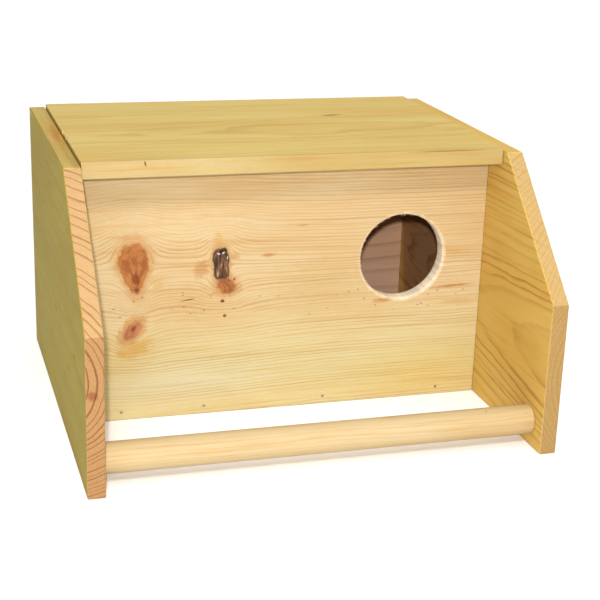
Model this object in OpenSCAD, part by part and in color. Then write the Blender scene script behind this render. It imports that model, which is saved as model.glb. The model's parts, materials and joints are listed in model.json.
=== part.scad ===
// Pine nest box with an open porch, a landing perch and a lid that swings up on two nails.
// The front faces -Y. The origin is on the ground, in the middle of the box.

/* [Boards] */
// Thickness of every board
board_t = 12.7; // [10:0.1:16]
// Clear width between the two sides
inner_w = 322; // [265:1:390]
// Depth of the sides, front to back
side_depth = 321; // [267:1:386]
// Height of the sides
side_h = 207; // [172:1:249]
// Height of the sides' upright front edge
nose_h = 116; // [96:1:140]
// Distance that the sides' top edge starts behind their front edge
top_setback = 96.5; // [80:0.5:116]

/* [Front panel] */
// Depth of the open porch before the front panel
porch_depth = 128; // [106:1:154]
// Radius of the entrance hole
hole_r = 34.2; // [28:0.1:42]
// Distance from the right side to the middle of the entrance
hole_from_side = 68; // [56:1:82]
// Distance from the lid down to the middle of the entrance
hole_drop = 77.8; // [64:0.1:94]

/* [Lid] */
// Distance that the lid reaches forward of the front panel
lid_overhang = 26.5; // [22:0.5:32]
// Height of the lid's top above the sides
lid_proud = 2.3; // [1:0.1:4]
// Gap at each end of the lid
lid_end_gap = 0.8; // [0.4:0.1:1.5]
// Gap between the lid and the back panel. The lid opens until its upper back edge has closed it.
lid_back_gap = 1.3; // [0.8:0.1:2]

/* [Perch] */
// Diameter of the perch
perch_d = 22.2; // [18:0.1:27]
// Distance from the sides' front edge to the middle of the perch
perch_setback = 22.3; // [18:0.1:27]
// Height of the middle of the perch
perch_z = 19.7; // [16:0.1:24]

/* [Nails] */
// Length of a brad
nail_l = 32; // [25:1:38]
// Diameter of a brad's shank
nail_d = 1.6; // [1.2:0.1:2]
// Diameter of a brad's head
nail_head_d = 2.4; // [1.8:0.1:3]
// Depth that the heads are driven below the wood
nail_set = 0.9; // [0.3:0.1:1.5]
// Diameter of the pivot nails that carry the lid
pivot_d = 2.4; // [2:0.1:2.9]
// Diameter of the pivot nails' heads
pivot_head_d = 4.6; // [3.8:0.1:5.5]
// Length of the pivot nails
pivot_l = 36; // [30:1:43]
// Clearance of a pivot nail in the lid, on the radius
pivot_clearance = 0.06; // [0.02:0.01:0.1]

/* [Hidden] */
$fn = 48;
hole_fn = 160;

eps = 0.01;                                  // a cut runs this far past the face it opens
head_t = 1;                                  // thickness of a nail's head
front_y = -side_depth / 2;                   // the sides' front edge
back_y = side_depth / 2;                     // the sides' back edge
panel_y = front_y + porch_depth;             // the front panel's face
floor_front_y = panel_y + board_t;
floor_back_y = back_y - board_t;
lid_z = side_h + lid_proud - board_t;        // the lid's underside
lid_front_y = panel_y - lid_overhang;
back_panel_h = lid_z - lid_back_gap;
pivot_y = back_y - board_t / 2;
pivot_z = lid_z + board_t / 2;
perch_y = front_y + perch_setback;
hole_x = inner_w / 2 - hole_from_side;
hole_z = lid_z - hole_drop;
pivot_tip_gap = 1;
pivot_bore_l = pivot_l - board_t + pivot_tip_gap;

// Where the brads go. Those along the floor's front and back edges were spaced by eye, so each is
// this far from even spacing. Those from the sides start clear of the tips of those.
by_eye = [0, -22, -12, -2];
floor_nail_inset = 31;
panel_nail_inset = 30;
side_nail_count = 3;
tip_margin = 8;
floor_mid_z = board_t / 2;
nail_reach = nail_l - board_t;
floor_nail_even_xs = spread(len(by_eye), -inner_w / 2 + floor_nail_inset, inner_w / 2 - floor_nail_inset);
floor_nail_xs = floor_nail_even_xs + by_eye;
side_floor_ys = spread(side_nail_count, floor_front_y + nail_reach + tip_margin,
                       floor_back_y - nail_reach - tip_margin);
side_panel_zs = spread(side_nail_count, panel_nail_inset, lid_z - panel_nail_inset);

function spread(count, first, last) = [for (i = [0:count - 1]) first + (last - first) * i / (count - 1)];

// A nail that points along +Z, with the top of its head at z = 0
module nail(length, shank_d, head_d) {
    cylinder(h = head_t, d = head_d);
    translate([0, 0, head_t - eps]) cylinder(h = length - head_t - shank_d, d = shank_d);
    translate([0, 0, length - shank_d - 2 * eps]) cylinder(h = shank_d, d1 = shank_d, d2 = shank_d / 4);
}

// The hole that a nail leaves, open at the face that it went in by
module nail_hole(length, shank_d, head_d, set) {
    translate([0, 0, -set - eps]) cylinder(h = head_t + set + eps, d = head_d);
    cylinder(h = length, d = shank_d);
}

module brad() {
    nail(nail_l, nail_d, nail_head_d);
}

module brad_hole() {
    nail_hole(nail_l, nail_d, nail_head_d, nail_set);
}

// Each of these turns a nail and puts its head below a face: "hand" is -1 at the left side and 1 at the right
module from_side(hand, y, z, set) {
    translate([hand * (inner_w / 2 + board_t - set), y, z]) rotate([0, -90 * hand, 0]) children();
}

module from_front(x, z, set) {
    translate([x, panel_y + set, z]) rotate([-90, 0, 0]) children();
}

module from_back(x, z, set) {
    translate([x, back_y - set, z]) rotate([90, 0, 0]) children();
}

// Every place where a kind of nail sits; the children are the nail or its hole
module at_floor_front() {
    for (x = floor_nail_xs) from_front(x, floor_mid_z, nail_set) children();
}

module at_floor_back() {
    for (x = floor_nail_xs) from_back(x, floor_mid_z, nail_set) children();
}

module at_side_floor(hand) {
    for (y = side_floor_ys) from_side(hand, y, floor_mid_z, nail_set) children();
}

module at_side_front(hand) {
    for (z = side_panel_zs) from_side(hand, panel_y + board_t / 2, z, nail_set) children();
}

module at_side_back(hand) {
    for (z = side_panel_zs) from_side(hand, back_y - board_t / 2, z, nail_set) children();
}

module at_side_perch(hand) {
    from_side(hand, perch_y, perch_z, 0) children();
}

module at_pivot(hand) {
    from_side(hand, pivot_y, pivot_z, 0) children();
}

module pivot_nail() {
    nail(pivot_l, pivot_d, pivot_head_d);
}

module pivot_hole() {
    nail_hole(pivot_l, pivot_d, pivot_head_d, 0);
}

// One side, with its sloping upper front edge
module side(hand) {
    outline = [
        [front_y, 0], [back_y, 0], [back_y, side_h],
        [front_y + top_setback, side_h], [front_y, nose_h]
    ];
    color("burlywood") difference() {
        translate([hand > 0 ? inner_w / 2 : -inner_w / 2 - board_t, 0, 0])
            rotate([90, 0, 90]) linear_extrude(board_t) polygon(outline);
        at_side_front(hand) brad_hole();
        at_side_back(hand) brad_hole();
        at_side_floor(hand) brad_hole();
        at_side_perch(hand) nail_hole(nail_l, nail_d, nail_head_d, 0);
        at_pivot(hand) pivot_hole();
    }
}

module left_side() {
    side(-1);
}

module right_side() {
    side(1);
}

module front_panel() {
    color("wheat") difference() {
        translate([-inner_w / 2, panel_y, 0]) cube([inner_w, board_t, lid_z]);
        translate([hole_x, panel_y - eps, hole_z]) rotate([-90, 0, 0])
            cylinder(h = board_t + 2 * eps, r = hole_r, $fn = hole_fn);
        at_floor_front() brad_hole();
        at_side_front(-1) brad_hole();
        at_side_front(1) brad_hole();
    }
}

module back_panel() {
    color("burlywood") difference() {
        translate([-inner_w / 2, floor_back_y, 0]) cube([inner_w, board_t, back_panel_h]);
        at_floor_back() brad_hole();
        at_side_back(-1) brad_hole();
        at_side_back(1) brad_hole();
    }
}

module floor_panel() {
    color("burlywood") difference() {
        translate([-inner_w / 2, floor_front_y, 0]) cube([inner_w, floor_back_y - floor_front_y, board_t]);
        at_floor_front() brad_hole();
        at_floor_back() brad_hole();
        at_side_floor(-1) brad_hole();
        at_side_floor(1) brad_hole();
    }
}

// The lower back edge is rounded about the pivot so that it turns clear of the back panel.
// The upper back edge stays square, and lands on the back panel when the lid is fully open.
module lid_section() {
    translate([lid_front_y, lid_z]) square([pivot_y - lid_front_y, board_t]);
    translate([pivot_y - eps, pivot_z]) square([back_y - pivot_y + eps, board_t / 2]);
    translate([pivot_y, pivot_z]) intersection() {
        circle(d = board_t, $fn = 96);
        translate([-eps, -board_t]) square([board_t, board_t + eps]);
    }
}

module lid() {
    lid_l = inner_w - 2 * lid_end_gap;
    color("tan") difference() {
        translate([-lid_l / 2, 0, 0]) rotate([90, 0, 90]) linear_extrude(lid_l) lid_section();
        for (hand = [-1, 1])
            translate([hand * (inner_w / 2 + eps), pivot_y, pivot_z]) rotate([0, -90 * hand, 0])
                cylinder(h = pivot_bore_l, r = pivot_d / 2 + pivot_clearance);
    }
}

module perch() {
    color("wheat") difference() {
        translate([-inner_w / 2, perch_y, perch_z]) rotate([0, 90, 0])
            cylinder(h = inner_w, d = perch_d, $fn = 96);
        for (hand = [-1, 1]) at_side_perch(hand) nail_hole(nail_l, nail_d, nail_head_d, 0);
    }
}

module left_perch_nail() {
    color("silver") at_side_perch(-1) brad();
}

module right_perch_nail() {
    color("silver") at_side_perch(1) brad();
}

module left_pivot_nail() {
    color("silver") at_pivot(-1) pivot_nail();
}

module right_pivot_nail() {
    color("silver") at_pivot(1) pivot_nail();
}

module front_floor_nails() {
    color("silver") at_floor_front() brad();
}

module back_floor_nails() {
    color("silver") at_floor_back() brad();
}

module left_floor_nails() {
    color("silver") at_side_floor(-1) brad();
}

module right_floor_nails() {
    color("silver") at_side_floor(1) brad();
}

module left_front_nails() {
    color("silver") at_side_front(-1) brad();
}

module right_front_nails() {
    color("silver") at_side_front(1) brad();
}

module left_back_nails() {
    color("silver") at_side_back(-1) brad();
}

module right_back_nails() {
    color("silver") at_side_back(1) brad();
}

left_side();
right_side();
front_panel();
back_panel();
floor_panel();
lid();
perch();
left_perch_nail();
right_perch_nail();
left_pivot_nail();
right_pivot_nail();
front_floor_nails();
back_floor_nails();
left_floor_nails();
right_floor_nails();
left_front_nails();
right_front_nails();
left_back_nails();
right_back_nails();
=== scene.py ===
"""The looks of a pine nest box: solid wood whose growth rings run through each board, on a pale floor."""
import json
import math
import random

import bmesh
import bpy
from mathutils import Matrix, Vector


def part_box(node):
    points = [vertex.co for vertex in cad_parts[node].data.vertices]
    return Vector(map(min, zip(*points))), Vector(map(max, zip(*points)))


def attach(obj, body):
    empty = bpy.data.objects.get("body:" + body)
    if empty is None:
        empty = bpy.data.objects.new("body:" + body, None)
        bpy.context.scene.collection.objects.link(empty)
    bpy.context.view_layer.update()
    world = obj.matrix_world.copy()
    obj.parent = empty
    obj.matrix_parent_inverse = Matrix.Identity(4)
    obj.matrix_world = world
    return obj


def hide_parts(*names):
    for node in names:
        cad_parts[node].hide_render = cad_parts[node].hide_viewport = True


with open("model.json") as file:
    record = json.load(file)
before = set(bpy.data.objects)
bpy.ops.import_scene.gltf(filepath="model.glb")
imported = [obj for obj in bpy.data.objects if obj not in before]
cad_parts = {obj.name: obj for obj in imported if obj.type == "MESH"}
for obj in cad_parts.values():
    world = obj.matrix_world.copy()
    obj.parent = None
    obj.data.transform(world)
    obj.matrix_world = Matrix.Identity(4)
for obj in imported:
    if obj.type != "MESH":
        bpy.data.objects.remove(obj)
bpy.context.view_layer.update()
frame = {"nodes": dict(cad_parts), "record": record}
nodes = frame["nodes"]

MM = 0.001


# ---------------------------------------------------------------- camera, light and floor

CAMERA_AT = Vector((-0.285, -1.008, 0.4308))
CAMERA_AZIMUTH = 16.84      # degrees to the right of +Y
CAMERA_DOWN = 18.57         # degrees below the horizon
CAMERA_ROLL = 1.86
CAMERA_LENS = 83.2
SENSOR_WIDTH = 36

SURROUND_STRENGTH = 0.55
HIGH_SUN = {"heading": (0.10, 0.69, -0.71), "soft": 12, "power": 1.6}
OVERHEAD_SUN = {"heading": (0.05, 0.15, -0.99), "soft": 50, "power": 0.8}
FLASH_AT = Vector((-0.329, -1.130, 0.514))
FLASH_TOWARDS = Vector((0.093, -0.0325, 0.1188))
FLASH_WIDTH = 0.025
FLASH_POWER = 10.3

FLOOR_REACH = 60
FLOOR_COLOUR = (0.90, 0.90, 0.90, 1)
FLOOR_BELOW = 0.0002        # keeps the floor just under the boards' lower edges


def make_camera():
    data = bpy.data.cameras.new("camera")
    data.lens = CAMERA_LENS
    data.sensor_width = SENSOR_WIDTH
    camera = bpy.data.objects.new("camera", data)
    bpy.context.scene.collection.objects.link(camera)
    azimuth, down = math.radians(CAMERA_AZIMUTH), math.radians(CAMERA_DOWN)
    level = math.cos(down)
    ahead = Vector((math.sin(azimuth) * level, math.cos(azimuth) * level, -math.sin(down)))
    upright = ahead.to_track_quat("-Z", "Y").to_matrix().to_4x4()
    camera.matrix_world = upright @ Matrix.Rotation(math.radians(CAMERA_ROLL), 4, "Z")
    camera.location = CAMERA_AT
    bpy.context.scene.camera = camera


def make_sun(name, heading, soft, power):
    """A distant lamp that shines along heading. Soft is how wide it looks from the object, in degrees."""
    data = bpy.data.lights.new(name, "SUN")
    data.angle = math.radians(soft)
    data.energy = power
    light = bpy.data.objects.new(name, data)
    light.rotation_euler = Vector(heading).to_track_quat("-Z", "Y").to_euler()
    bpy.context.scene.collection.objects.link(light)


def make_flash():
    """A small round lamp behind and above the camera, turned towards the entrance."""
    data = bpy.data.lights.new("flash", "AREA")
    data.shape = "DISK"
    data.size = FLASH_WIDTH
    data.energy = FLASH_POWER
    light = bpy.data.objects.new("flash", data)
    light.rotation_euler = (FLASH_TOWARDS - FLASH_AT).to_track_quat("-Z", "Y").to_euler()
    light.location = FLASH_AT
    bpy.context.scene.collection.objects.link(light)


def make_studio():
    scene = bpy.context.scene
    scene.view_settings.view_transform = "Standard"
    world = bpy.data.worlds.new("studio")
    world.use_nodes = True
    background = world.node_tree.nodes["Background"]
    background.inputs["Color"].default_value = (1, 1, 1, 1)
    background.inputs["Strength"].default_value = SURROUND_STRENGTH
    scene.world = world
    make_sun("high_softbox", **HIGH_SUN)
    make_sun("overhead_softbox", **OVERHEAD_SUN)
    make_flash()


def make_floor():
    mesh = bpy.data.meshes.new("floor")
    reach = FLOOR_REACH
    corners = [(-reach, -reach, 0), (reach, -reach, 0), (reach, reach, 0), (-reach, reach, 0)]
    mesh.from_pydata(corners, [], [(0, 1, 2, 3)])
    floor = bpy.data.objects.new("floor", mesh)
    bpy.context.scene.collection.objects.link(floor)
    material = bpy.data.materials.new("floor")
    material.use_nodes = True
    shader = material.node_tree.nodes["Principled BSDF"]
    shader.inputs["Base Color"].default_value = FLOOR_COLOUR
    shader.inputs["Roughness"].default_value = 0.9
    shader.inputs["Specular IOR Level"].default_value = 0.1
    mesh.materials.append(material)
    floor.location.z = -FLOOR_BELOW


# ---------------------------------------------------------------- node helpers

class Tree:
    """A material's node tree, with one short method for each kind of node that the wood uses."""

    def __init__(self, name):
        self.material = bpy.data.materials.new(name)
        self.material.use_nodes = True
        self.nodes = self.material.node_tree.nodes
        self.links = self.material.node_tree.links
        self.shader = self.nodes["Principled BSDF"]

    def put(self, socket, value):
        if hasattr(value, "is_output"):
            self.links.new(value, socket)
        elif value is not None:
            socket.default_value = value

    def math(self, operation, a, b=None, c=None, clamp=False):
        node = self.nodes.new("ShaderNodeMath")
        node.operation = operation
        node.use_clamp = clamp
        for socket, value in zip(node.inputs, (a, b, c)):
            self.put(socket, value)
        return node.outputs[0]

    def add(self, a, b):
        return self.math("ADD", a, b)

    def sub(self, a, b):
        return self.math("SUBTRACT", a, b)

    def mul(self, a, b):
        return self.math("MULTIPLY", a, b)

    def length(self, a, b):
        return self.math("SQRT", self.add(self.mul(a, a), self.mul(b, b)))

    def ramp(self, value, low, high, to_low=0.0, to_high=1.0, smooth=True):
        node = self.nodes.new("ShaderNodeMapRange")
        node.interpolation_type = "SMOOTHSTEP" if smooth else "LINEAR"
        for socket, v in zip(node.inputs, (value, low, high, to_low, to_high)):
            self.put(socket, v)
        return node.outputs[0]

    def xyz(self, x, y, z):
        node = self.nodes.new("ShaderNodeCombineXYZ")
        for socket, value in zip(node.inputs, (x, y, z)):
            self.put(socket, value)
        return node.outputs[0]

    def split(self, vector):
        node = self.nodes.new("ShaderNodeSeparateXYZ")
        self.put(node.inputs[0], vector)
        return node.outputs

    def noise(self, vector, scale=1.0, detail=2.0, roughness=0.5, colour=False):
        node = self.nodes.new("ShaderNodeTexNoise")
        self.put(node.inputs["Vector"], vector)
        node.inputs["Scale"].default_value = scale
        node.inputs["Detail"].default_value = detail
        node.inputs["Roughness"].default_value = roughness
        return node.outputs["Color" if colour else "Fac"]

    def cells(self, vector, scale=1.0):
        node = self.nodes.new("ShaderNodeTexVoronoi")
        self.put(node.inputs["Vector"], vector)
        node.inputs["Scale"].default_value = scale
        return node.outputs["Distance"], node.outputs["Color"]

    def mix(self, share, a, b, blend="MIX"):
        node = self.nodes.new("ShaderNodeMix")
        node.data_type = "RGBA"
        node.blend_type = blend
        self.put(node.inputs["Factor"], share)
        self.put(node.inputs["A"], (*a, 1) if isinstance(a, tuple) else a)
        self.put(node.inputs["B"], (*b, 1) if isinstance(b, tuple) else b)
        return node.outputs["Result"]

    def here(self):
        return self.nodes.new("ShaderNodeTexCoord")


# ---------------------------------------------------------------- wood

# Noise drawn out along the grain: its scale along, its scale across, its detail, and its roughness if given
DRIFT = (0.006, 0.012, 1.5)
RIPPLE = (0.02, 0.12, 2)
FIBRE = (0.05, 1.5, 3, 0.65)
STREAK = (0.010, 0.25, 3)
PATCH = (0.007, 0.022, 2)
PLAIN_BANDS = (0.003, 0.06, 1)

BAND_TINT = (0.92, 0.80, 0.62)
FIBRE_TINT = (0.86, 0.74, 0.56)
PORE_TINT = (0.8, 0.66, 0.5)
SQUARE_CUT_TINT = (0.79, 0.73, 0.60)
HALO_TINT = (0.84, 0.60, 0.36)
DUCT_COLOUR = (0.26, 0.09, 0.03)
END_SEASON_START = 0.62
BUMP_HEIGHT = 0.12 * MM


def scaled(colour, factor):
    return tuple(c * factor for c in colour)


class Wood:
    """Solid wood. Rings lie round a pith line along the grain, and knots run through the board.

    Lengths are in millimetres. Along is the grain's axis. The other two axes, in X, Y, Z order, are u and v,
    and a pith is a (u, v). Lean is how far the pith line moves in u and in v for each millimetre along.
    """

    def __init__(self, name, along, pith, spacing, early, late, contrast, seed, lean=(0, 0), wander=12,
                 end_pith=None, end_spacing=None, end=None, end_late=None, end_contrast=0.8, end_crowd=None,
                 season_start=0.3, knots=(), spots=(), specks=None, fades=(), rim=None):
        t = self.t = Tree(name)
        self.material = t.material
        self.seed = seed
        self.find_place(along)

        # How far each place is from the pith line, which wanders slowly, in the faces and at the ends
        drift = t.split(self.stretched(*DRIFT, colour=True))
        ripple = t.mul(t.sub(self.stretched(*RIPPLE), 0.5), min(spacing, 5) * 0.8)
        out = self.distance_to_pith(pith, lean, drift, wander)
        for knot in knots:
            out = t.add(out, self.push(knot, pith))
        self.face_ring = self.rings(t.add(out, ripple), spacing, season_start)
        end_lean = lean if end_pith is None else (0, 0)
        end_out = self.distance_to_pith(end_pith or pith, end_lean, drift, wander * 0.3)
        if end_crowd:
            end_out = self.crowded(end_out, *end_crowd)
        end_out = t.add(end_out, t.mul(ripple, 0.4))
        self.end_ring = self.rings(end_out, end_spacing or spacing, END_SEASON_START)

        self.fibre = self.stretched(*FIBRE)
        self.pores = t.noise(t.xyz(t.mul(self.s, 1.2), t.mul(self.u, 1.6), t.mul(self.v, 1.6)), detail=2)
        face_colour = self.coloured_face(early, late, contrast, fades)
        end_colour = self.coloured_end(end or early, end_late or scaled(late, 0.9), end_contrast)
        colour = t.mix(self.at_end, face_colour, end_colour)
        if specks:
            colour = self.speckled(colour, specks)
        rough, height = self.surfaced()
        for knot in knots:
            colour, rough, height, coat = self.knotted(colour, rough, height, knot)
            t.put(t.shader.inputs["Coat Weight"], coat)
        for spot in spots:
            colour = self.stain_and_painted_light(colour, spot)
        if rim:
            colour, height = self.frayed(colour, height, rim)
        self.finish(colour, rough, height)

    def find_place(self, along):
        """Each place in millimetres along and across the grain, and how squarely its face cuts the grain."""
        t = self.t
        coordinates = t.here()
        place = t.nodes.new("ShaderNodeVectorMath")
        place.operation = "SCALE"
        t.put(place.inputs[0], coordinates.outputs["Object"])
        place.inputs["Scale"].default_value = 1 / MM
        self.xyz = t.split(place.outputs[0])
        self.s = self.xyz[along]
        self.u, self.v = [self.xyz[i] for i in range(3) if i != along]
        along_normal = t.split(coordinates.outputs["Normal"])[along]
        self.square_cut = t.math("ABSOLUTE", along_normal)
        self.at_end = t.ramp(self.square_cut, 0.5, 0.75)

    def crowded(self, out, start, stop, extra):
        """Rings that lie closer together from one v to another."""
        t = self.t
        crowd = t.ramp(self.v, start, stop, smooth=False)
        return t.add(out, t.mul(t.mul(crowd, crowd), extra))

    def coloured_face(self, early, late, contrast, fades):
        """Rings, fibres and broad bands of tone in the faces. A fade is an (axis, start, stop, colour); some
        fades paint shade.
        """
        t = self.t
        streak = self.stretched(*STREAK)
        patch = self.stretched(*PATCH)
        strength = t.mul(t.ramp(self.stretched(*PLAIN_BANDS), 0.35, 0.65, 0.3, 1.0), contrast)
        ground = early
        for axis, start, stop, faded in fades:
            ground = t.mix(t.ramp(self.xyz[axis], start, stop), faded, ground)
        colour = t.mix(t.mul(self.face_ring, strength), ground, late)
        colour = self.toned(colour, t.ramp(streak, 0.48, 0.72, 0, 0.55), BAND_TINT)
        colour = self.toned(colour, t.ramp(patch, 0.4, 0.66, 0, 0.5), BAND_TINT)
        return self.toned(colour, t.ramp(self.fibre, 0.4, 0.75, 0, 0.35), FIBRE_TINT)

    def coloured_end(self, end, end_late, contrast):
        """Rings and pores in end grain, which is darker where the cut is square."""
        t = self.t
        colour = t.mix(t.mul(self.end_ring, contrast), end, end_late)
        colour = self.toned(colour, t.ramp(self.pores, 0.45, 0.7, 0, 0.7), PORE_TINT)
        return self.toned(colour, t.ramp(self.square_cut, 0.72, 0.95), SQUARE_CUT_TINT)

    def surfaced(self):
        """Roughness and height, both from the rings, the fibres and the pores at the ends."""
        t = self.t
        at_face = t.sub(1.0, self.at_end)
        ring = t.add(t.mul(self.face_ring, at_face), t.mul(self.end_ring, self.at_end))
        rough = t.sub(t.ramp(self.fibre, 0.2, 0.8, 0.52, 0.72, smooth=False), t.mul(ring, 0.08))
        height = t.add(t.mul(ring, 0.5), t.mul(self.fibre, 0.8))
        return rough, t.add(height, t.mul(t.mul(self.pores, self.at_end), 0.8))

    def finish(self, colour, rough, height):
        t = self.t
        bump = t.nodes.new("ShaderNodeBump")
        bump.inputs["Strength"].default_value = 0.4
        bump.inputs["Distance"].default_value = BUMP_HEIGHT
        t.put(bump.inputs["Height"], height)
        t.put(t.shader.inputs["Normal"], bump.outputs[0])
        t.put(t.shader.inputs["Roughness"], rough)
        t.put(t.shader.inputs["Base Color"], colour)
        t.shader.inputs["Specular IOR Level"].default_value = 0.05
        t.shader.inputs["Coat Roughness"].default_value = 0.12

    def stretched(self, along, across, detail, roughness=0.5, colour=False):
        """Noise drawn out along the grain."""
        t = self.t
        lengthwise = t.math("MULTIPLY_ADD", self.s, along, self.seed)
        where = t.xyz(lengthwise, t.mul(self.u, across), t.mul(self.v, across))
        return t.noise(where, detail=detail, roughness=roughness, colour=colour)

    def distance_to_pith(self, pith, lean, drift, wander):
        t = self.t
        legs = []
        for across, centre, slope, wobble in zip((self.u, self.v), pith, lean, drift):
            leg = t.sub(across, centre)
            if slope:
                leg = t.sub(leg, t.mul(self.s, slope))
            legs.append(t.add(leg, t.mul(t.sub(wobble, 0.5), wander)))
        return t.length(*legs)

    def rings(self, out, spacing, season_start):
        """0 in the pale early wood, up to 1 at the dark edge where each season ends."""
        t = self.t
        count = t.math("DIVIDE", out, spacing)
        uneven = t.nodes.new("ShaderNodeTexNoise")
        uneven.noise_dimensions = "1D"
        t.put(uneven.inputs["W"], t.math("MULTIPLY_ADD", count, 0.3, self.seed))
        uneven.inputs["Scale"].default_value = 1
        season = t.math("FRACT", t.add(count, t.mul(uneven.outputs["Fac"], 2.0)))
        grown = t.math("POWER", t.ramp(season, season_start, 0.9), 2.0)
        return t.mul(grown, t.ramp(season, 0.92, 1.0, 1, 0))

    def toned(self, colour, share, tint):
        t = self.t
        return t.mix(share, colour, t.mix(1.0, colour, tint, "MULTIPLY"))

    def offsets(self, spot):
        """How far each place is from the middle of a spot, along its face's two directions."""
        t = self.t
        face = spot.get("face", "v")
        along = self.u if face == "end" else self.s
        across = self.u if face == "u" else self.v
        return t.sub(along, spot["at"][0]), t.sub(across, spot["at"][1])

    def oval(self, spot, ragged=0.5):
        """0 at the middle of a spot and 1 at its edge. A spot runs straight through the board."""
        t = self.t
        ds, dv = self.offsets(spot)
        turn = math.radians(spot.get("turn", 0))
        wobble = t.noise(t.xyz(t.mul(ds, 0.16), t.mul(dv, 0.16), spot["at"][0]), detail=4, roughness=0.6)
        length, width = spot["size"]
        a = t.add(t.mul(ds, math.cos(turn) / length), t.mul(dv, math.sin(turn) / length))
        b = t.sub(t.mul(dv, math.cos(turn) / width), t.mul(ds, math.sin(turn) / width))
        taper = spot.get("taper", 0)
        if taper:
            a = t.mul(a, t.ramp(b, -1, 0.25, 1 + taper, 1, smooth=False))
        if spot.get("square"):
            out = t.math("SQRT", t.length(t.mul(a, a), t.mul(b, b)))
        else:
            out = t.length(a, b)
        return t.add(out, t.mul(t.sub(wobble, 0.5), ragged))

    def push(self, knot, pith):
        """How far the grain that flows round a knot is moved, as a stream is by a pile."""
        t = self.t
        near = t.math("MAXIMUM", self.oval(knot, 0.15), 1.0)
        side = 1.0 if knot["at"][1] < pith[1] else -1.0
        offset = t.sub(self.v, knot["at"][1])
        return t.mul(t.math("DIVIDE", offset, t.mul(near, near)), side * knot.get("push", 1.0))

    def stain_and_painted_light(self, colour, spot):
        """A stain; the same tint also paints patches of light and shade. Its depth, if given, is an axis (0
        for u, 1 for v) and the two places it fades between.
        """
        t = self.t
        near = self.oval(spot, spot.get("ragged", 0.6))
        share = t.ramp(near, spot.get("core", 0.2), 1.0, spot.get("strength", 0.8), 0)
        if "depth" in spot:
            into, start, stop = spot["depth"]
            share = t.mul(share, t.ramp((self.u, self.v)[into], start, stop, 1, 0))
        return self.toned(colour, share, spot["tint"])

    def fan(self, spot, origin, count):
        """Noise in streaks that fan out from a point beside the middle of a spot."""
        t = self.t
        ds, dv = self.offsets(spot)
        x, y = t.sub(ds, origin[0]), t.sub(dv, origin[1])
        far = t.math("MAXIMUM", t.length(x, y), 0.1)
        across = t.mul(t.math("DIVIDE", x, far), count)
        up = t.mul(t.math("DIVIDE", y, far), count)
        where = t.xyz(across, up, t.math("MULTIPLY_ADD", far, 0.07, self.seed))
        return t.noise(where, detail=4, roughness=0.65)

    def knotted(self, colour, rough, height, knot):
        """A knot's streaked wood, the stain round it and its darker, ragged edge."""
        t = self.t
        streaks = self.fan(knot, *knot["fan"])
        near = t.add(self.oval(knot), t.mul(t.sub(streaks, 0.5), knot.get("hair", 0.5)))
        inside = t.ramp(near, knot.get("blur", 0.86), 1.04, 1, 0)
        knot_wood = t.mix(t.ramp(streaks, 0.45, 0.57), knot["colour"], knot["dark"])
        pale = knot.get("pale", scaled(knot["colour"], 1.25))
        knot_wood = t.mix(t.ramp(streaks, 0.43, 0.33), knot_wood, pale)
        knot_wood = t.mix(t.ramp(near, 0.6, 1.0, 0, knot.get("edge", 0.5)), knot_wood, knot["dark"])
        halo = t.mul(t.ramp(near, 0.95, 1.5, knot.get("halo", 0.6), 0), t.sub(1.0, inside))
        colour = self.toned(colour, halo, HALO_TINT)
        colour = t.mix(t.mul(inside, knot.get("cover", 0.95)), colour, knot_wood)
        rough = t.sub(rough, t.mul(inside, knot.get("gloss", 0.1)))
        height = t.sub(height, t.mul(t.mul(inside, streaks), knot.get("relief", 1.0)))
        coat = t.mul(inside, knot["coat"]) if "coat" in knot else None
        return colour, rough, height, coat

    def frayed(self, colour, height, rim):
        """Pale torn fibres round a bored hole."""
        t = self.t
        radius, width = rim["radius"], rim["width"]
        out = t.length(*self.offsets(rim))
        tears = self.fan(rim, (0, 0), 9)
        edge = t.add(out, t.mul(t.sub(tears, 0.5), width * 1.2))
        share = t.ramp(edge, radius + width * 0.35, radius + width * 1.1, rim["strength"], 0)
        share = t.math("MAXIMUM", share, t.ramp(out, radius + 0.1, radius + 1.0, 1, 0))
        torn = t.mix(t.ramp(tears, 0.4, 0.62, 0, 0.6), rim["colour"], scaled(rim["colour"], 0.62))
        return t.mix(share, colour, torn), t.add(height, t.mul(t.mul(share, tears), 3.0))

    def speckled(self, colour, specks):
        """Short dark resin ducts along the grain, in one band of the board."""
        t = self.t
        lengthwise = t.math("MULTIPLY_ADD", self.s, 0.13, self.seed)
        place = t.xyz(lengthwise, t.mul(self.u, 0.02), t.mul(self.v, 0.24))
        distance, hue = t.cells(place)
        chosen = t.math("LESS_THAN", t.split(hue)[0], specks["share"])
        low, high = specks["between"]
        band = t.mul(t.ramp(self.v, low - 4, low + 4), t.ramp(self.v, high - 4, high + 4, 1, 0))
        dot = t.mul(t.mul(t.ramp(distance, 0.08, 0.17, 1, 0), chosen), band)
        return t.mix(t.mul(dot, 0.8), colour, DUCT_COLOUR)


# ---------------------------------------------------------------- boards, cracks, nails and torn fibres

SANDED = 0.9 * MM
SHORTEST_EDGE = 6 * MM      # shorter edges belong to the nail holes and the round rims

TORN_SEED = 7
TORN_COUNT = 170
TORN_FOOT = 0.16 * MM
TORN_TIP = 0.02 * MM


def link(piece):
    bpy.context.scene.collection.objects.link(piece)
    return piece


def cleaned_shape(node):
    """A CAD node's mesh with its flat faces whole again."""
    shape = bmesh.new()
    shape.from_mesh(nodes[node].data)
    bmesh.ops.remove_doubles(shape, verts=shape.verts, dist=0.001 * MM)
    bmesh.ops.dissolve_limit(shape, angle_limit=math.radians(0.4), verts=shape.verts, edges=shape.edges)
    return shape


def is_sharp(edge):
    return len(edge.link_faces) == 2 and edge.calc_face_angle(0) > math.radians(30)


def rounded(shape, edges, radius, segments):
    bmesh.ops.bevel(shape, geom=edges, offset=radius, segments=segments, profile=0.5, affect="EDGES",
                    clamp_overlap=False)


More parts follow.
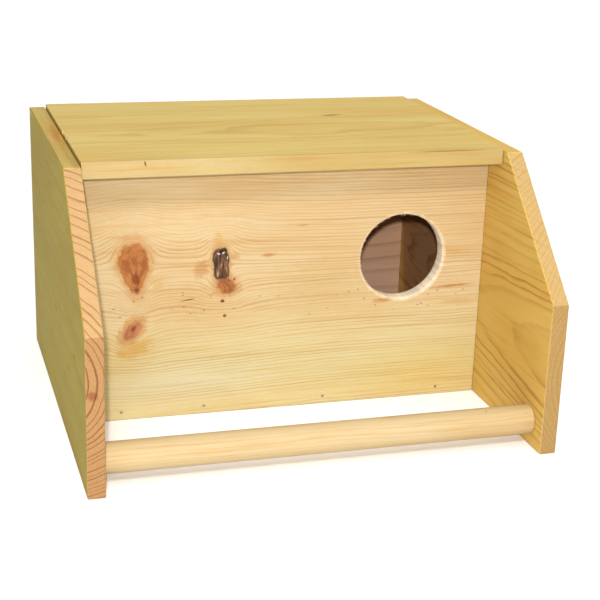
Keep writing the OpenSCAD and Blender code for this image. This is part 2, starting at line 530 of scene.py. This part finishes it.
def rim_edges(shape, centre, radius):
    """The sharp edges whose ends all lie on a circle."""
    return [e for e in shape.edges if is_sharp(e)
            and all(abs((v.co - centre).length - radius) < 0.1 * MM for v in e.verts)]


def board(node, material, body, rims=()):
    """A board with sanded edges in place of a CAD node. A rim is a round edge to turn over: its centre, its
    radius and how far it is turned over."""
    shape = cleaned_shape(node)
    for centre, radius, turn in rims:
        rounded(shape, rim_edges(shape, centre, radius), turn, 6)
    shape.edges.ensure_lookup_table()
    straight = [e for e in shape.edges if is_sharp(e) and e.calc_length() > SHORTEST_EDGE]
    rounded(shape, straight, SANDED, 3)
    mesh = bpy.data.meshes.new(node + "_board")
    shape.to_mesh(mesh)
    shape.free()
    mesh.materials.append(material)
    piece = link(bpy.data.objects.new(node + "_board", mesh))
    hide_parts(node)
    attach(piece, body)
    return piece


def splinter(at, along, width, depth, into):
    """A lens-shaped cutter with its long axis along a vector, that sinks from a face into the wood."""
    shape = bmesh.new()
    bmesh.ops.create_icosphere(shape, subdivisions=2, radius=1.0)
    direction = along.normalized()
    side = into.cross(direction).normalized()
    turn = Matrix((direction * along.length / 2, side * width / 2, into * depth)).transposed()
    for vertex in shape.verts:
        vertex.co = turn @ vertex.co + at
    mesh = bpy.data.meshes.new("cutter")
    shape.to_mesh(mesh)
    shape.free()
    return link(bpy.data.objects.new("cutter", mesh))


def carve(piece, cutters):
    """Cuts each cutter out of a piece for good."""
    for cutter in cutters:
        cut = piece.modifiers.new("cut", "BOOLEAN")
        cut.object = cutter
        cut.solver = "EXACT"
    evaluated = piece.evaluated_get(bpy.context.evaluated_depsgraph_get())
    mesh = bpy.data.meshes.new_from_object(evaluated)
    piece.modifiers.clear()
    piece.data = mesh
    for cutter in cutters:
        bpy.data.objects.remove(cutter)


def dress(node, material):
    """Gives a CAD node that stays in view a material."""
    materials = nodes[node].data.materials
    materials.clear()
    materials.append(material)


def make_fibres(centre, radius, material):
    """Short torn fibres that stand round the entrance, where the cutter left them."""
    rng = random.Random(TORN_SEED)
    shape = bmesh.new()
    for _ in range(TORN_COUNT):
        angle = rng.uniform(0, 2 * math.pi)
        outward = Vector((math.cos(angle), 0, math.sin(angle)))
        root = centre + outward * (radius + rng.uniform(0.4, 2.2) * MM)
        root.y += rng.uniform(0.1, 0.8) * MM
        lean = outward.cross(Vector((0, 1, 0))) * rng.uniform(-0.6, 0.6)
        forward = Vector((0, -1, 0)) * rng.uniform(0.15, 0.7)
        tip_way = (forward - outward * rng.uniform(0.3, 1.0) + lean).normalized()
        length = rng.uniform(0.9, 2.4) * MM
        cone = bmesh.ops.create_cone(shape, cap_ends=True, segments=4, radius1=TORN_FOOT, radius2=TORN_TIP,
                                     depth=length)
        pose = tip_way.to_track_quat("Z", "Y").to_matrix().to_4x4()
        pose.translation = root + tip_way * length * 0.35
        bmesh.ops.transform(shape, matrix=pose, verts=cone["verts"])
    mesh = bpy.data.meshes.new("entrance_fibres")
    shape.to_mesh(mesh)
    shape.free()
    mesh.materials.append(material)
    piece = link(bpy.data.objects.new("entrance_fibres", mesh))
    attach(piece, "box")


def steel():
    t = Tree("steel")
    place = t.here().outputs["Object"]
    grime = t.noise(place, scale=900, detail=3)
    colour = t.mix(t.ramp(grime, 0.35, 0.7), (0.52, 0.5, 0.47), (0.2, 0.17, 0.14))
    t.put(t.shader.inputs["Base Color"], colour)
    t.put(t.shader.inputs["Roughness"], t.ramp(grime, 0.3, 0.7, 0.35, 0.6))
    t.shader.inputs["Metallic"].default_value = 1.0
    return t.material


# ---------------------------------------------------------------- where the boards' faces are, in millimetres

X, Y, Z = 0, 1, 2
outer_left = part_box("left_side")[0].x / MM
side_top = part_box("left_side")[1].z / MM
inner_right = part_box("right_side")[0].x / MM
panel_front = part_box("front_panel")[0].y / MM
panel_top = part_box("front_panel")[1].z / MM
lid_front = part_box("lid")[0].y / MM
lid_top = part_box("lid")[1].z / MM
lid_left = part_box("lid")[0].x / MM


# ---------------------------------------------------------------- knots, stains, painted light and shade, and the seven woods

RED_KNOT = {"colour": (0.34, 0.125, 0.03), "dark": (0.24, 0.066, 0.019)}
BLACK_KNOT = {"colour": (0.10, 0.035, 0.015), "dark": (0.004, 0.002, 0.002)}
# Small pale marks on the black knot: painted highlights, the glints of light on its resin put into the
# colour.
PAINTED_GLINT = {"colour": (0.62, 0.57, 0.54), "dark": (0.30, 0.25, 0.23), "push": 0, "halo": 0,
             "fan": ((0, 0), 2)}
RESIN = (0.72, 0.40, 0.19)
PITCH = (0.30, 0.13, 0.06)
AMBER = (0.93, 0.74, 0.45)


def on_panel(share_x, share_z, length, width, turn=0, **more):
    """A knot or spot at a share of the front board's width and height from its lower left corner."""
    low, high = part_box("front_panel")
    at = ((low.x + (high.x - low.x) * share_x) / MM, (low.z + (high.z - low.z) * share_z) / MM)
    return {"at": at, "size": (length, width), "turn": turn, **more}


panel_knots_and_glints = [
    on_panel(0.130, 0.617, 13.4, 20.8, 4, **RED_KNOT, taper=0.7, fan=((3, -16), 3), cover=0.93, gloss=0.06,
             edge=0.4, hair=0.3, blur=0.82),
    on_panel(0.350, 0.526, 9.4, 8.0, -24, colour=(0.30, 0.10, 0.027), dark=(0.19, 0.052, 0.017),
             fan=((-7, 9), 5), push=0.3, edge=0.5, hair=0.7, blur=0.62, cover=0.9),
    on_panel(0.336, 0.617, 6.5, 12.8, 3, **BLACK_KNOT, square=True, pale=(0.36, 0.19, 0.10),
             fan=((2, 90), 34), gloss=0.2, relief=6.0, hair=0.5, coat=0.3),
    # The next three marks are painted highlights on the black knot.
    on_panel(0.330, 0.657, 1.6, 0.6, -25, **PAINTED_GLINT),
    on_panel(0.341, 0.660, 1.2, 0.6, 35, **PAINTED_GLINT),
    on_panel(0.351, 0.640, 0.4, 1.4, 0, **PAINTED_GLINT),
    on_panel(0.124, 0.366, 12.0, 6.8, 48, colour=(0.37, 0.135, 0.055), dark=(0.27, 0.075, 0.032),
             fan=((-9, -11), 5), push=0.8, cover=0.88, halo=0.8, gloss=0, edge=0.3, hair=1.0, blur=0.6),
    on_panel(0.340, 0.466, 1.6, 1.3, 0, colour=(0.20, 0.05, 0.025), dark=(0.09, 0.02, 0.012),
             fan=((0, 0), 1)),
    on_panel(0.346, 0.405, 1.3, 1.3, 0, colour=(0.24, 0.08, 0.03), dark=(0.12, 0.03, 0.015), fan=((0, 0), 1)),
]
panel_spots = [
    on_panel(0.133, 0.575, 4.6, 6.8, 10, tint=(0.50, 0.30, 0.32), strength=0.85, ragged=1.6),
    on_panel(0.136, 0.527, 2.6, 4.0, 12, tint=(0.42, 0.24, 0.26), strength=0.8, ragged=1.3),
    on_panel(0.127, 0.375, 2.6, 4.2, -35, tint=(0.50, 0.32, 0.30), strength=0.8, ragged=1.4),
    on_panel(0.368, 0.552, 1.4, 1.6, 0, tint=(0.35, 0.15, 0.15), strength=0.85, ragged=0.6),
    on_panel(0.137, 0.294, 18, 9, 22, tint=AMBER, strength=0.85, ragged=0.9),
    on_panel(0.098, 0.275, 9, 5, -20, tint=AMBER, strength=0.7, ragged=1.2),
    on_panel(0.188, 0.560, 9, 7, 0, tint=AMBER, strength=0.5, ragged=1.2),
    on_panel(0.290, 0.600, 8, 11, 0, tint=RESIN, strength=0.5, ragged=2.2),
    on_panel(0.370, 0.641, 5, 4, 0, tint=RESIN, strength=0.5, ragged=1.6),
    on_panel(0.330, 0.715, 5, 8, 0, tint=(0.94, 0.78, 0.48), strength=0.6, ragged=1.6),
    on_panel(0.453, 0.643, 9, 2.2, 4, tint=RESIN, strength=0.7, ragged=0.9),
    on_panel(0.257, 0.479, 7.4, 0.8, 7, tint=PITCH, strength=0.75, ragged=0.8),
    on_panel(0.313, 0.495, 5, 0.8, 18, tint=(0.70, 0.36, 0.24), strength=0.6, ragged=0.8),
    on_panel(0.534, 0.755, 7, 0.7, 3, tint=PITCH, strength=0.45, ragged=0.4),
    on_panel(0.752, 0.430, 14, 3.2, 4, tint=RESIN, strength=0.75, ragged=1.1),
    on_panel(0.925, 0.471, 25, 1.7, 2, tint=RESIN, strength=0.85, ragged=0.6),
    on_panel(0.95, 0.40, 26, 3.5, 1, tint=(0.88, 0.64, 0.38), strength=0.5, ragged=0.9),
    on_panel(0.90, 0.62, 30, 8, 1, tint=AMBER, strength=0.5, ragged=1.1),
    on_panel(0.22, 0.47, 60, 22, 3, tint=(0.95, 0.84, 0.70), strength=0.6, ragged=1.2),
    # Four broad tints over the front board: partly the wood's own tone and partly painted light and shade;
    # tints above 1 lighten it like painted light.
    on_panel(0.20, 0.76, 90, 26, 2, tint=(1.08, 1.13, 1.22), strength=1, ragged=0.9, core=0),
    on_panel(0.22, 0.12, 110, 30, 2, tint=(1.0, 1.05, 1.28), strength=1, ragged=0.9, core=0),
    on_panel(0.88, 0.12, 80, 34, 2, tint=(1.0, 0.93, 0.74), strength=1, ragged=0.9, core=0),
    on_panel(0.58, 0.52, 70, 34, 2, tint=(0.94, 0.93, 0.84), strength=1, ragged=0.9, core=0),
]
entrance = next(m for m in frame["record"]["mounts"] if m["name"] == "entrance")
entrance_radius = entrance["dims"]["r_mm"] * MM
entrance_at = Vector(entrance["pos_m"])

left_wood = Wood(
    "left_side_pine", Y, (outer_left - 6, 84), 4.6, (0.50, 0.375, 0.12), (0.20, 0.125, 0.02), 0.5, seed=3.0,
    # The fade gives the left side's outer face a darker, olive ground: partly the wood's own tone, partly
    # painted shade.
    wander=5, fades=[(X, outer_left + 0.4, outer_left + 1.2, (0.335, 0.265, 0.04))],
    end=(0.43, 0.262, 0.13), end_late=(0.22, 0.06, 0.035), end_contrast=0.85,
    end_pith=(outer_left - 32, 84), end_spacing=4.9, end_crowd=(62, 0, 26),
    spots=[{"at": (outer_left + 5, 75), "size": (4.6, 5.6), "tint": (0.62, 0.38, 0.32), "strength": 0.8,
            "ragged": 1.2, "face": "end"},
           {"at": (-104, 82), "size": (9, 2.2), "tint": PITCH, "strength": 0.6},
           {"at": (-68, 60), "size": (8, 2.0), "tint": PITCH, "strength": 0.5},
           {"at": (0, 83), "size": (8, 2.4), "tint": PITCH, "strength": 0.5},
           {"at": (48, outer_left + 9), "size": (52, 6), "tint": (0.95, 0.66, 0.36), "strength": 0.9,
            "ragged": 1.3, "face": "u", "depth": (1, side_top - 0.5, side_top - 2)}])
right_wood = Wood(
    "right_side_pine", Y, (inner_right - 60, 76.5), 5.2, (0.60, 0.40, 0.108), (0.35, 0.165, 0.03), 0.75,
    seed=11.0, lean=(-0.09, 0.017), wander=4, end_pith=(inner_right + 75, 60), end_spacing=3.2,
    end=(0.42, 0.29, 0.13), end_contrast=0.5, season_start=0.4,
    # Painted shade: the right side's inner face is darker and browner inside the box, behind the front board,
    # than in the porch.
    spots=[{"at": (64, 100), "size": (88, 130), "core": 0.88, "tint": (0.76, 0.60, 1.05), "strength": 1,
            "ragged": 0.05, "depth": (0, inner_right + 1, inner_right + 2)}])
panel_wood = Wood(
    "front_panel_pine", X, (panel_front - 30, panel_top + 160), 2.6, (0.515, 0.395, 0.225),
    (0.325, 0.18, 0.06), 0.5, seed=21.0, wander=5, knots=panel_knots_and_glints, spots=panel_spots, end_contrast=0.4,
    specks={"share": 0.5, "between": (76, 102)},
    fades=[(Z, 35, 105, (0.515, 0.435, 0.225))],
    rim={"at": (entrance_at.x / MM, entrance_at.z / MM), "radius": entrance_radius / MM, "width": 2.6,
         "colour": (0.88, 0.73, 0.54), "strength": 0.35})
back_wood = Wood("back_panel_pine", X, (160, 20), 15, (0.66, 0.425, 0.29), (0.42, 0.24, 0.165), 0.6,
                 seed=31.0, wander=26)
floor_wood = Wood("floor_panel_pine", X, (60, -40), 4.5, (0.66, 0.46, 0.22), (0.45, 0.24, 0.09), 0.6,
                  seed=41.0)
lid_wood = Wood(
    "lid_pine", X, (30, lid_top - 75), 4.2, (0.59, 0.45, 0.155), (0.44, 0.28, 0.075), 0.5, seed=51.0,
    lean=(0.05, 0.01), wander=14,
    # The second fade gives the lid's front face a darker base colour than its top: painted shade.
    fades=[(X, -170, 60, (0.57, 0.44, 0.155)), (Y, lid_front + 1, lid_front + 3, (0.40, 0.295, 0.115))],
    # The first spot lightens the left end of the lid's front face: partly the wood's own tone, partly painted
    # light.
    spots=[{"at": (-150, lid_top - 6), "size": (170, 60), "tint": (1.14, 1.22, 1.6), "strength": 1,
            "ragged": 0.5, "core": 0, "depth": (0, lid_front + 1, lid_front + 3)},
           {"at": (-115, lid_top - 2.8), "size": (0.9, 2.6), "turn": 16, "tint": PITCH, "strength": 0.9,
            "ragged": 0.3, "depth": (0, lid_front + 1, lid_front + 2)},
           {"at": (67, 83), "size": (12, 3), "tint": PITCH, "strength": 0.8, "face": "u", "turn": 8},
           {"at": (118, lid_top - 0.8), "size": (44, 0.6), "tint": PITCH, "strength": 0.7, "ragged": 0.3,
            "depth": (0, lid_front + 0.5, lid_front + 1.5)}])
perch_wood = Wood(
    "perch_pine", X, (-138, 60), 3.0, (0.48, 0.365, 0.20), (0.41, 0.27, 0.12), 0.45, seed=61.0,
    specks={"share": 0.12, "between": (20, 34)})


# ---------------------------------------------------------------- the build

INWARD = Vector((0, 1, 0))
DOWN = Vector((0, 0, -1))
ENTRANCE_FRONT_TURN = 2.2 * MM
ENTRANCE_BACK_TURN = 0.8 * MM
PERCH_TURN = 1.2 * MM

make_camera()
make_studio()
make_floor()

entrance_front = Vector((entrance_at.x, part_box("front_panel")[0].y, entrance_at.z))
entrance_back = Vector((entrance_at.x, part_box("front_panel")[1].y, entrance_at.z))
panel = board("front_panel", panel_wood.material, "box", rims=[
    (entrance_front, entrance_radius, ENTRANCE_FRONT_TURN),
    (entrance_back, entrance_radius, ENTRANCE_BACK_TURN)])
board("left_side", left_wood.material, "box")
board("right_side", right_wood.material, "box")
board("back_panel", back_wood.material, "box")
board("floor_panel", floor_wood.material, "box")
lid = board("lid", lid_wood.material, "lid")
perch_low, perch_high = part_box("perch")
perch_radius = (perch_high.z - perch_low.z) / 2
perch_middle = (perch_low + perch_high) / 2
board("perch", perch_wood.material, "box", rims=[
    (Vector((x, perch_middle.y, perch_middle.z)), perch_radius, PERCH_TURN)
    for x in (perch_low.x, perch_high.x)])
make_fibres(entrance_front, entrance_radius, panel_wood.material)


def panel_crack(share_x, share_z, along, width, depth):
    """A crack in the front board's face. Its lengths are in millimetres."""
    at = on_panel(share_x, share_z, 1, 1)["at"]
    place = Vector((at[0], panel_front, at[1])) * MM
    return splinter(place, Vector(along) * MM, width * MM, depth * MM, INWARD)


def lid_crack(at, along, width, depth, into):
    """A slit or chip in the lid. Its lengths are in millimetres."""
    return splinter(Vector(at) * MM, Vector(along) * MM, width * MM, depth * MM, into)


carve(panel, [
    panel_crack(0.333, 0.622, (0.6, 0, 17), 0.9, 1.6),
    panel_crack(0.342, 0.600, (-1.2, 0, 11), 0.8, 1.4),
    panel_crack(0.337, 0.668, (6, 0, 1.2), 0.8, 1.0),
    panel_crack(0.138, 0.565, (1.5, 0, 11), 0.5, 0.8),
    panel_crack(0.257, 0.478, (11, 0, 1.2), 0.5, 0.6),
])
carve(lid, [
    lid_crack((-115, lid_front, lid_top - 2.6), (1.6, 0, -4.6), 1.1, 1.0, INWARD),
    lid_crack((lid_left, 46, lid_top), (0.8, 6, 0), 4.2, 2.6, DOWN),
    lid_crack((lid_left, 24, lid_top), (0.4, 9, 0), 2.6, 1.6, DOWN),
])

nail_steel = steel()
for node in nodes:
    if node.endswith(("nail", "nails")):
        dress(node, nail_steel)
